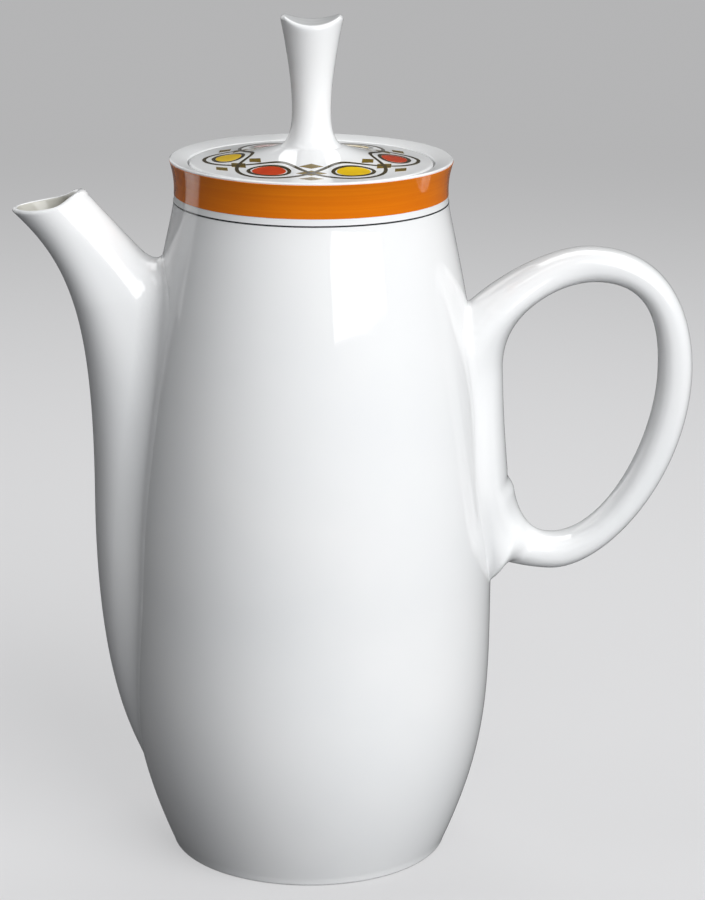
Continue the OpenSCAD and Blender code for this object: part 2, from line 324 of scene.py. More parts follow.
class NodeSheet:
    """Node tree of a material or of the world, with short calls to fill it."""

    def __init__(self, owner: Owner) -> None:
        """Empties the owner's tree.

        Args:
            owner: Material or world that the tree belongs to.
        """
        owner.use_nodes = True
        self.owner = owner
        self.tree = owner.node_tree
        self.tree.nodes.clear()

    def add(
        self, kind: str, values: dict[str | int, object] | None = None, output: str | int = 0,
        **settings: object,
    ) -> Socket:
        """Adds a node.

        Args:
            kind: Type name of the node, after "ShaderNode".
            values: What its inputs get, by name or place: a value, or a socket to join.
            output: Name or place of the output that is wanted.
            settings: Properties of the node.

        Returns:
            The wanted output.
        """
        node = self.tree.nodes.new("ShaderNode" + kind)
        for key, value in settings.items():
            setattr(node, key, value)
        for key, value in (values or {}).items():
            if isinstance(value, Socket):
                self.tree.links.new(value, node.inputs[key])
            else:
                node.inputs[key].default_value = value
        return node.outputs[output]

    def place(self, scale: Triple) -> Socket:
        """Object coordinates, scaled to so many repeats to the metre along x, y and z."""
        where = self.add("TexCoord", output="Object")
        return self.add("Mapping", {"Vector": where, "Scale": scale})

    def noise(self, scale: Triple, detail: float, rough: float) -> Socket:
        """Noise from 0 to 1 in object space, with finer layers of a strength."""
        values = {"Scale": 1.0, "Detail": detail, "Roughness": rough}
        return self.add("TexNoise", {"Vector": self.place(scale), **values})

    def ramp(self, source: Socket, start: Pair, end: Pair) -> Socket:
        """Passes a value through a grey ramp.

        Args:
            source: Socket that gives the value.
            start: Place where the ramp starts, and its grey there.
            end: Place where the ramp ends, and its grey there.

        Returns:
            The socket that gives the ramp's colour.
        """
        colour = self.add("ValToRGB", {"Fac": source})
        for point, (place, grey) in zip(colour.node.color_ramp.elements, (start, end)):
            point.position = place
            point.color = (grey, grey, grey, 1.0)
        return colour

    def blend(self, share: Socket, low: Triple | Socket, high: Triple | Socket) -> Socket:
        """Mix of two colours, or of sockets that give them, by the share of the second."""
        tones = (tone if isinstance(tone, Socket) else (*tone, 1.0) for tone in (low, high))
        return self.add("Mix", {"Factor": share, **dict(zip((6, 7), tones))}, 2, data_type="RGBA")

    def bump(self, height: Socket, depth: float, **below: Socket) -> Socket:
        """Normal of a height of a real depth in metres, added to another Normal if one is given."""
        return self.add("Bump", {"Strength": 1.0, "Distance": depth, "Height": height, **below})

    def by_ray(self, seen: Socket, mirrored: Socket, lighting: Socket) -> Socket:
        """Picks a shader by the kind of ray.

        Args:
            seen: Shader for the camera's own rays.
            mirrored: Shader in reflections and through glass.
            lighting: Shader for all other rays.

        Returns:
            The picked shader.
        """
        path = self.add("LightPath").node.outputs
        rays = {0: path["Is Glossy Ray"], 1: path["Is Transmission Ray"]}
        glossy = self.add("Math", rays, operation="MAXIMUM")
        rest = self.add("MixShader", {"Fac": glossy, 1: lighting, 2: mirrored})
        return self.add("MixShader", {"Fac": path["Is Camera Ray"], 1: rest, 2: seen})

    def end(self, shader: Socket, kind: str = "Material") -> Owner:
        """Joins the shader to a new output, and gives back the tree's owner.

        Args:
            shader: Finished shader.
            kind: Kind of the output, "Material" or "World".

        Returns:
            The material or world.
        """
        output = self.tree.nodes.new("ShaderNodeOutput" + kind)
        self.tree.links.new(shader, output.inputs["Surface"])
        return self.owner


@dataclass(frozen=True)
class PorcelainGlaze:
    """Clear glaze over white porcelain: faint ripples, cloudy tone and a few iron specks."""

    white: Triple = (0.846, 0.85, 0.85)
    cloud: Triple = (0.816, 0.825, 0.83)
    speck: Triple = (0.42, 0.43, 0.42)
    cloud_scale: float = 22.0
    ripple_scale: float = 55.0
    ripple_depth: float = 0.00012
    peel_scale: float = 420.0
    peel_depth: float = 0.0000025
    speck_scale: float = 75.0
    speck_size: Pair = (0.012, 0.03)
    speck_rarity: float = 0.86
    roughness: float = 0.045
    index: float = 1.52

    def material(self, name: str) -> Material:
        """Builds the glaze's material.

        Args:
            name: Name of the material.

        Returns:
            The material.
        """
        sheet = NodeSheet(bpy.data.materials.new(name))
        drift = sheet.noise((self.cloud_scale,) * 3, 3.0, 0.5)
        tone = sheet.blend(sheet.ramp(drift, (0.35, 0.0), (0.7, 1.0)), self.white, self.cloud)
        cells = sheet.add("TexVoronoi", {
            "Vector": sheet.place((self.speck_scale,) * 3), "Scale": 1.0, "Randomness": 1.0,
        }).node.outputs
        core, edge = self.speck_size
        dot = sheet.ramp(cells["Distance"], (core, 1.0), (edge, 0.0))
        chance = sheet.add("SeparateColor", {"Color": cells["Color"]})
        chosen = sheet.add("Math", {0: chance, 1: self.speck_rarity}, operation="GREATER_THAN")
        mask = sheet.add("Math", {0: dot, 1: chosen}, operation="MULTIPLY")
        ripple = sheet.bump(sheet.noise((self.ripple_scale,) * 3, 1.0, 0.4), self.ripple_depth)
        peel = sheet.noise((self.peel_scale,) * 3, 1.0, 0.5)
        return sheet.end(sheet.add("BsdfPrincipled", {
            "Base Color": sheet.blend(mask, tone, self.speck),
            "Normal": sheet.bump(peel, self.peel_depth, Normal=ripple),
            "Roughness": self.roughness, "IOR": self.index,
        }))


@dataclass(frozen=True)
class BrushedEnamel:
    """Fired enamel laid on by brush while the pot turns, so that its streaks run round."""

    colour: Triple
    thin: Triple
    streaks: Triple = (16.0, 16.0, 900.0)
    patches: Triple = (40.0, 40.0, 40.0)
    streak_ramp: tuple[Pair, Pair] = ((0.42, 0.0), (0.75, 0.8))
    patch_ramp: tuple[Pair, Pair] = ((0.4, 0.0), (0.75, 0.35))
    deepen: Triple = (0.86, 0.8, 0.8)
    depth: float = 0.00001
    coat: float = 0.3
    coat_roughness: float = 0.03
    gloss: float = 0.5
    roughness: float = 0.07
    index: float = 1.5

    def material(self, name: str) -> Material:
        """Builds the enamel's material.

        Args:
            name: Name of the material.

        Returns:
            The material.
        """
        sheet = NodeSheet(bpy.data.materials.new(name))
        streak = sheet.noise(self.streaks, 4.0, 0.55)
        brushed = sheet.blend(sheet.ramp(streak, *self.streak_ramp), self.colour, self.thin)
        patch = sheet.ramp(sheet.noise(self.patches, 2.0, 0.5), *self.patch_ramp)
        deep = tuple(part * share for part, share in zip(self.colour, self.deepen))
        return sheet.end(sheet.add("BsdfPrincipled", {
            "Base Color": sheet.blend(patch, brushed, deep),
            "Normal": sheet.bump(streak, self.depth),
            "Roughness": self.roughness, "IOR": self.index, "Specular IOR Level": self.gloss,
            "Coat Weight": self.coat, "Coat Roughness": self.coat_roughness,
        }))


@dataclass(frozen=True)
class BareBiscuit:
    """Unglazed fired clay where the foot stands."""

    pale: Triple = (0.62, 0.60, 0.55)
    worn: Triple = (0.45, 0.42, 0.37)
    wear_scale: float = 70.0
    grain_scale: float = 900.0
    grain_depth: float = 0.00004
    roughness: float = 0.85

    def material(self, name: str) -> Material:
        """Builds the biscuit's material.

        Args:
            name: Name of the material.

        Returns:
            The material.
        """
        sheet = NodeSheet(bpy.data.materials.new(name))
        grain = sheet.noise((self.grain_scale,) * 3, 4.0, 0.7)
        wear = sheet.ramp(sheet.noise((self.wear_scale,) * 3, 3.0, 0.6), (0.4, 0.0), (0.7, 1.0))
        return sheet.end(sheet.add("BsdfPrincipled", {
            "Base Color": sheet.blend(wear, self.pale, self.worn),
            "Normal": sheet.bump(grain, self.grain_depth), "Roughness": self.roughness,
        }))


def mix_finishes() -> dict[Finish, Material]:
    """Builds all the materials once.

    Returns:
        The material of each finish.
    """
    flat = {
        "streaks": (300.0,) * 3, "patches": (90.0,) * 3, "depth": 0.000006,
        "coat": 0.0, "gloss": 0.3,
    }
    looks = {
        Finish.GLAZE: PorcelainGlaze(),
        # Inside the spout's mouth: white painted down to grey-cream as painted shade, with a
        # rougher glaze.
        Finish.INNER_GLAZE: PorcelainGlaze((0.56, 0.55, 0.50), (0.50, 0.49, 0.44), roughness=0.16),
        Finish.BISCUIT: BareBiscuit(),
        Finish.ORANGE: BrushedEnamel((0.71, 0.168, 0.001), (0.80, 0.22, 0.002)),
        Finish.DARK: BrushedEnamel((0.022, 0.024, 0.026), (0.06, 0.06, 0.06)),
        Finish.BRICK: BrushedEnamel((0.56, 0.045, 0.003), (0.66, 0.068, 0.008), **flat),
        Finish.MUSTARD: BrushedEnamel((0.78, 0.50, 0.001), (0.85, 0.59, 0.006), **flat),
        Finish.OLIVE: BrushedEnamel((0.16, 0.105, 0.008), (0.25, 0.165, 0.018), **flat),
        Finish.UMBER: BrushedEnamel((0.05, 0.038, 0.015), (0.10, 0.08, 0.032), **flat),
    }
    return {finish: look.material(finish.value) for finish, look in looks.items()}


# ---- body ----


@dataclass
class PotBody:
    """Spun body: foot ring, belly, neck, rim with the lid's seat, and strainer holes."""

    height: float = 219.0
    foot_r: float = 43.3
    foot_round: float = 1.0
    foot_lean: float = 67.0
    foot_pull: float = 36.8
    belly_r: float = 56.6
    belly_z: float = 91.0
    belly_pull_down: float = 38.5
    belly_pull_up: float = 37.0
    neck_r: float = 43.4
    neck_pull: float = 27.6
    neck_slope: float = 0.22
    collar_h: float = 22.3
    collar_pull: float = 0.35
    rim_r: float = 42.8
    rim_slope: float = 0.34
    rim_round: float = 0.6
    rim_fall: float = 1.2
    wall: float = 4.2
    floor_t: float = 4.5
    floor_round: float = 14.0
    foot_hollow: float = 3.5
    foot_ring_w: float = 4.0
    foot_ring_slope: float = 4.0
    foot_flat: float = 1.0
    bare_z: float = 0.35
    seat_r: float = 37.3
    throat_r: float = 33.3
    ledge_z: float = 214.8
    ledge_t: float = 3.0
    edge_round: float = 0.5
    clear: float = 1.0
    strainer_z: float = 98.0
    hole_r: float = 2.6
    hole_pitch: float = 9.0
    wall_steps: tuple[int, int, int] = (44, 52, 16)
    steps: int = 192
    wall_line: list[Vector] = field(default_factory=list)

    def __post_init__(self) -> None:
        """Lays out the outside of the wall, foot to rim."""
        foot = Vector((self.foot_r, self.foot_round))
        belly = Vector((self.belly_r, self.belly_z))
        neck = Vector((self.neck_r, self.height - self.collar_h))
        rim = Vector((self.rim_r, self.height - self.rim_round))
        pull = self.collar_h * self.collar_pull
        inwards = Vector((-self.neck_slope, 1))
        spread = self.foot_pull * heading(self.foot_lean)
        below, above = (Vector((0, far)) for far in (self.belly_pull_down, self.belly_pull_up))
        curves = (
            bend(foot, spread, below, belly),
            bend(belly, above, self.neck_pull * inwards, neck),
            bend(neck, pull * inwards, pull * Vector((self.rim_slope, 1)), rim),
        )
        for curve, steps in zip(curves, self.wall_steps):
            self.wall_line += run(curve, steps)
        self.wall_line.append(rim)

    def trace(self, z: float) -> Pair:
        """Looks up the wall's outside.

        Args:
            z: Height on the pot.

        Returns:
            The radius there, and its change with height.
        """
        index = span(self.wall_line, z, key=lambda point: point.y)
        a, b = self.wall_line[index - 1:index + 1]
        slope = (b.x - a.x) / (b.y - a.y)
        return a.x + slope * (z - a.y), slope

    def radius(self, z: float) -> float:
        """Radius of the wall's outside at height z."""
        return self.trace(z)[0]

    def normal(self, point: Vector) -> Vector:
        """Direction straight out of the wall beside a point."""
        _, slope = self.trace(point.z)
        return Vector((point.x, point.y, -slope * math.hypot(point.x, point.y))).normalized()

    def reach(self, point: Vector) -> float:
        """Distance of a point from the wall's outside, less than zero inside."""
        radius, slope = self.trace(point.z)
        return (math.hypot(point.x, point.y) - radius) / math.hypot(1.0, slope)

    def outline(self) -> list[Vector]:
        """Lays out the whole section of the body.

        Returns:
            The points as (radius, height), up the outside, over the rim and down the inside.
        """
        soft, ledge, ledge_low = self.edge_round, self.ledge_z, self.ledge_z - self.ledge_t
        seat_top = self.height - self.rim_fall - soft
        cavity_r = self.radius(ledge_low - self.ledge_t) - self.wall
        root_z = ledge_low - (cavity_r - self.throat_r)
        floor_z = self.foot_hollow + self.floor_t
        low, high = floor_z + self.floor_round + self.clear, root_z - self.clear
        corner_x = self.radius(floor_z + self.floor_round) - self.wall - self.floor_round
        stand_x = self.foot_r - self.foot_round
        ring_in = stand_x - self.foot_ring_w
        inner = [Vector((p.x - self.wall, p.y)) for p in self.wall_line if low < p.y < high]
        rim = (self.rim_r - self.rim_round, self.height - self.rim_round)
        floor = (
            (corner_x / 2, floor_z), (0, floor_z), (0, self.foot_hollow),
            (ring_in - self.foot_ring_slope, self.foot_hollow),
        )
        return [
            *self.wall_line[:-1],
            *arc(rim, self.rim_round, 20, 90, 5),
            *arc((self.seat_r + soft, seat_top), soft, 90, 180, 4),
            *arc((self.seat_r - soft, ledge + soft), soft, 0, -90, 3),
            *arc((self.throat_r + soft, ledge - soft), soft, 90, 180, 3),
            *arc((self.throat_r + soft, ledge_low + soft), soft, 180, 225, 2),
            Vector((cavity_r, root_z)),
            *reversed(inner),
            *arc((corner_x, floor_z + self.floor_round), self.floor_round, 0, -90, 12),
            *map(Vector, floor),
            *arc((ring_in + soft, soft), soft, 180, 270, 3),
            Vector((stand_x - self.foot_flat, 0)),
            *arc((stand_x, self.foot_round), self.foot_round, -90, -20, 4),
        ]

    def core(self, inset: float) -> BMesh:
        """Solid a little inside the wall's outside, for cutting what is luted on.

        Args:
            inset: Depth below the wall's outside.

        Returns:
            The closed solid.
        """
        line = [Vector((p.x - inset, p.y)) for p in self.wall_line[::2]]
        bottom, top = Vector((0, line[0].y)), Vector((0, line[-1].y))
        return spin_outline([bottom, *line, top], self.steps)

    def holes(self) -> BMesh:
        """Lays out rods where the strainer's holes pass the wall behind the spout.

        Returns:
            One rod in the middle and six round it.
        """
        bm = bmesh.new()
        middle = Vector((self.wall / 2 - self.radius(self.strainer_z), 0.0, self.strainer_z))
        for across, up in ((0.0, 0.0), *[self.hole_pitch * heading(a) for a in range(30, 360, 60)]):
            place = Matrix.Translation(middle + Vector((0.0, across, up)))
            bmesh.ops.create_cone(
                bm, cap_ends=True, cap_tris=False, segments=32, radius1=self.hole_r,
                radius2=self.hole_r, depth=self.wall * 4,
                matrix=place @ Matrix.Rotation(math.radians(90), 4, "Y"),
            )
        bmesh.ops.recalc_face_normals(bm, faces=bm.faces)
        return bm

    def pieces(self) -> Pieces:
        """Makes the body, glazed all over but for the ring it stands on.

        Yields:
            The body.
        """
        bm = carved(spin_outline(self.outline(), self.steps, closed=True), self.holes())
        for face in bm.faces:
            face.material_index = int(max(v.co.z for v in face.verts) < self.bare_z)
        coats = (Finish.GLAZE, Finish.BISCUIT)
        yield Piece("glazed_body", Ride.POT, "body_porcelain", "pot_body", coats), bm


@dataclass
class RimBands:
    """Orange band and dark line painted round the collar."""

    pot: PotBody
    band_top: float = 218.3
    band_h: float = 10.2
    line_gap: float = 1.9
    line_w: float = 0.5
    enamel_t: float = 0.1
    edge_w: float = 0.08
    row_h: float = 0.8
    sink: float = 0.15

    def ring(self, top: float, tall: float) -> BMesh:
        """Thin ring of enamel on the wall.

        Args:
            top: Height of its upper edge.
            tall: Height from its lower edge to its upper edge.

        Returns:
            The closed ring.
        """
        low, count = top - tall, max(2, round(tall / self.row_h))
        rows = [low + tall * i / count for i in range(1, count)]
        coat = [(z, self.enamel_t) for z in (low + self.edge_w, *rows, top - self.edge_w)]
        back = [(z, -self.sink) for z in (top, low + tall / 2, low)]
        levels = [(low, 0.0), *coat, (top, 0.0), *back]
        outline = [Vector((self.pot.radius(z) + out, z)) for z, out in levels]
        return spin_outline(outline, self.pot.steps, closed=True)

    def pieces(self) -> Pieces:
        """Makes the band and the line.

        Yields:
            The band, and then the line.
        """
        names = "orange_collar_band", Ride.POT, "orange_enamel", "orange_band"
        yield Piece(*names, (Finish.ORANGE,)), self.ring(self.band_top, self.band_h)
        names = "dark_collar_line", Ride.POT, "black_enamel", "black_line"
        line_top = self.band_top - self.band_h - self.line_gap
        yield Piece(*names, (Finish.DARK,)), self.ring(line_top, self.line_w)


# ---- parts luted to the body ----


@dataclass
class LutedPart(ABC):
    """A part lofted through closed sections and joined to the body by a soft fillet of glaze."""

    pot: PotBody
    sides: int = 96
    end: float = 3.0
    core_inset: float = 1.3
    fillet_steps: int = 8
    tuck: float = 0.16
    tuck_spread: float = 3.0
    near_line: float = 0.006
    nudge: float = 1e-3
    halvings: int = 12

    @abstractmethod
    def stations(self) -> list[float]:
        """Places of the loft's sections, on a closed chain whose outside runs from 0 to end."""

    @abstractmethod
    def skin(self, along: float, turn: float) -> Vector:
        """Point of the skin at a place along the chain and a share of a turn."""

    @abstractmethod
    def fillet(self, point: Vector) -> float:
        """Radius of the glaze fillet beside a point."""

    def reach(self, along: float, turn: float) -> float:
        """Distance from the body at a place of the skin, in fillet radii."""
        point = self.skin(along, turn)
        return self.pot.reach(point) / self.fillet(point)

    def skin_normal(self, along: float, turn: float) -> Vector:
        """Direction straight out of the outer skin.

        Args:
            along: Place along the chain.
            turn: Share of a turn round the section.

        Returns:
            The unit normal.
        """
        low, high = max(along - self.nudge, 0.0), min(along + self.nudge, self.end)
        forward = self.skin(high, turn) - self.skin(low, turn)
        sideways = self.skin(along, turn + self.nudge) - self.skin(along, turn - self.nudge)
        normal = forward.cross(sideways).normalized()
        middle = (self.skin(along, 0.0) + self.skin(along, 0.5)) / 2
        return -normal if normal.dot(self.skin(along, turn) - middle) < 0 else normal

    def grow(self) -> BMesh:
        """Extrudes one ring of edges from section to section along the whole chain.

        Returns:
            The closed skin, each vertex with its place along and round it.
        """
        bm = bmesh.new()
        along, turn, _ = (bm.verts.layers.float.new(name) for name in ("along", "turn", "reach"))
        first, *stations = self.stations()
        bmesh.ops.create_circle(bm, segments=self.sides, radius=1.0)
        for index, vert in enumerate(bm.verts):
            vert[along], vert[turn] = first, (index + 0.5) / self.sides - 0.5
        ring = list(bm.edges)
        for station in stations:
            grown = bmesh.ops.extrude_edge_only(bm, edges=ring)["geom"]
            fresh = {item for item in grown if isinstance(item, bmesh.types.BMVert)}
            for vert in fresh:
                vert[along] = station
            edges = (item for item in grown if isinstance(item, bmesh.types.BMEdge))
            ring = [edge for edge in edges if fresh.issuperset(edge.verts)]
        for vert in bm.verts:
            vert.co = self.skin(vert[along], vert[turn])
        bmesh.ops.remove_doubles(bm, verts=bm.verts, dist=WELD)
        return bm

    def score(self, bm: BMesh, level: float) -> None:
        """Cuts the outer skin's faces along the line that lies level radii from the body.

        Args:
            bm: Skin from grow().
            level: Distance of the line from the body, in fillet radii.
        """
        along, turn, reach = (bm.verts.layers.float[name] for name in ("along", "turn", "reach"))
        outside = [v for v in bm.verts if v[along] <= self.end]
        on_line = [v for v in outside if abs(v[reach] - level) < self.near_line]
        marked = set(on_line)
        for edge in list(bm.edges):
            a, b = edge.verts
            crosses = (a[reach] - level) * (b[reach] - level) < 0
            if not crosses or a in marked or b in marked or max(a[along], b[along]) > self.end:
                continue
            turn_b = b[turn] + round(a[turn] - b[turn])
            low, high, rises = 0.0, 1.0, b[reach] > a[reach]
            for _ in range(self.halvings):
                share = (low + high) / 2
                place = (
                    a[along] + (b[along] - a[along]) * share, a[turn] + (turn_b - a[turn]) * share,
                )
                if (self.reach(*place) > level) == rises:
                    high = share
                else:
                    low = share
            _, vert = bmesh.utils.edge_split(edge, a, share)
            vert[along], vert[turn], vert[reach] = *place, level
            vert.co = self.skin(*place)
            on_line.append(vert)
        bmesh.ops.connect_verts(bm, verts=on_line)

    def flare(self, reach: float) -> float:
        """Sideways move of the fillet at a distance from the body, both in fillet radii."""
        inside = 1 + self.tuck_spread * min(-reach, self.tuck)
        return inside if reach < 0 else 1 - math.sqrt(1 - (1 - reach) ** 2)

    def lute(self, bm: BMesh) -> None:
        """Flares the skin into the body, so that it meets the wall without a crease.

        Args:
            bm: Skin from grow().
        """
        along, turn, reach = (bm.verts.layers.float[name] for name in ("along", "turn", "reach"))
        for vert in bm.verts:
            vert[reach] = self.reach(vert[along], vert[turn])
        self.score(bm, -self.tuck)
        for step in range(self.fillet_steps + 1):
            self.score(bm, 1 - math.sin(math.pi / 2 * step / self.fillet_steps))
        for vert in bm.verts:
            if vert[along] <= self.end and vert[reach] < 1:
                out = self.pot.normal(vert.co)
                normal = self.skin_normal(vert[along], vert[turn])
                slide = normal - out * normal.dot(out)
                vert.co += slide * (self.flare(vert[reach]) * self.fillet(vert.co))

    def shape(self) -> BMesh:
        """Makes the closed part.

        Returns:
            The part, luted and cut off inside the wall.
        """
        bm = self.grow()
        self.lute(bm)
        bmesh.ops.recalc_face_normals(bm, faces=bm.faces)
        return carved(bm, self.pot.core(self.core_inset))


@dataclass
class Spout(LutedPart):
    """Trough that closes to a bent tube with a saddle-shaped lip."""

    tip: Vector = field(default_factory=lambda: Vector((90.3, 202.2)))
    mouth_len: float = 23.5
    mouth_w: float = 20.4
    mouth_tilt: float = 11.8
    mouth_dip: float = 1.0
    root_z: float = 30.0
    root_w: float = 29.52
    root_lean: float = 60.0
    root_pull: float = 27.8
    trough_z: float = 115.0
    trough_stand: float = 11.0
    trough_w: float = 41.0
    trough_bury: float = 30.0
    squareness: float = 2.5
    rise_pull: float = 58.0
    tip_lean: float = 44.0
    tip_pull: float = 22.7
    tube_lean: float = 47.7
    tube_back: float = 34.5
    tube_pull: float = 0.6
    wall: float = 3.0
    lip_round: float = 0.9
    lip_back: float = 2.1
    lip_turn: Pair = (0.1, 0.8)
    inner_from: float = 3.7
    wide_at: float = 0.8
    round_by: float = 0.9
    side_fillet: float = 6.0
    crotch_fillet: float = 7.4
    crotch_z: Pair = (165.0, 187.0)
    outer_steps: int = 150
    lip_steps: int = 8
    inner_steps: int = 50

    def __post_init__(self) -> None:
        """Works out the loft's fixed lines."""
        trough_r = self.pot.radius(self.trough_z)
        root, trough, bury = (Vector(place) for place in (
            (self.pot.radius(self.root_z), self.root_z),
            (trough_r + self.trough_stand, self.trough_z),
            (trough_r - self.trough_bury, self.trough_z),
        ))
        mouth_back = self.tip + self.mouth_len * heading(180 - self.mouth_tilt)
        tube = self.tube_back * heading(self.tube_lean)
        throat = mouth_back - tube
        spread = self.root_pull * heading(self.root_lean)
        sweep = self.tip_pull * heading(self.tip_lean)
        self.front = Line((0, 1, 3), (
            bend(root, spread, Vector((0, self.root_pull / 2)), trough),
            bend(trough, Vector((0, self.rise_pull)), sweep, self.tip),
        ))
        self.back = Line((0, 1, 2, 3), (
            straight(Vector((bury.x, self.root_z)), bury),
            bend(bury, Vector((0, self.tube_back)), self.tube_pull * tube, throat),
            straight(throat, mouth_back),
        ))
        self.widths = (
            (0, self.root_w), (self.wide_at, self.trough_w), (1, self.trough_w), (3, self.mouth_w),
        )

    def stations(self) -> list[float]:
        """Outside from 0 to 3, the lip to 4, and the inside back to 7, closed at 8.

        Returns:
            The places of the sections.
        """
        outer = [i * 3 / self.outer_steps for i in range(self.outer_steps + 1)]
        lip = [3 + i / self.lip_steps for i in range(1, self.lip_steps)]
        inner = [4 + i * 3 / self.inner_steps for i in range(self.inner_steps + 1)]
        return [*outer, *lip, *inner, 8.0]

    def skin(self, along: float, turn: float) -> Vector:
        """Point of the spout's skin.

        Args:
            along: Place on the chain of sections.
            turn: Share of a turn round the section; 0 is the front.

        Returns:
            The point.
        """
        s = along % 8.0
        inset, lift = 0.0, 0.0
        if s > 3:
            start, length = self.lip_turn
            behind = -math.cos(math.tau * turn)
            soft = ease(self.lip_round, self.lip_back, (behind - start) / length)
            if s > 4:
                s = 7 - s
                inset = ease(self.wall, 2 * soft, s - 2)
            else:
                inset = soft * (1 - math.cos(math.pi * (s - 3)))
                lift = soft * math.sin(math.pi * (s - 3))
                s = 3.0
        front, back = self.front.at(s), self.back.at(s)
        across = (front - back).normalized()
        down = Vector((across.y, -across.x))
        middle, half = (front + back) / 2 - down * lift, (front - back) / 2 - across * inset
        out, side = squared(turn, ease(self.squareness, ROUND, (s - 2) / self.round_by))
        dip = self.mouth_dip * max(0.0, s - 2) ** 2
        place = middle + half * out + down * (dip * side * side)
        return Vector((-place.x, (between(self.widths, s) / 2 - inset) * side, place.y))

    def fillet(self, point: Vector) -> float:
        """Wider glaze fillet in the crotch than along the sides."""
        sizes = zip(self.crotch_z, (self.side_fillet, self.crotch_fillet))
        return between(tuple(sizes), point.z)

    def pieces(self) -> Pieces:
        """Makes the spout, with a rougher glaze inside the mouth whose colour is painted darker as
        painted shade.

        Yields:
            The spout.
        """
        bm = self.shape()
        along = bm.verts.layers.float["along"]
        # Faces inside the mouth take the glaze whose darker colour is painted shade.
        for face in bm.faces:
            face.material_index = int(min(vert[along] for vert in face.verts) > self.inner_from)
        coats = (Finish.GLAZE, Finish.INNER_GLAZE)
        yield Piece("glazed_spout", Ride.POT, "spout_porcelain", "spout", coats), bm


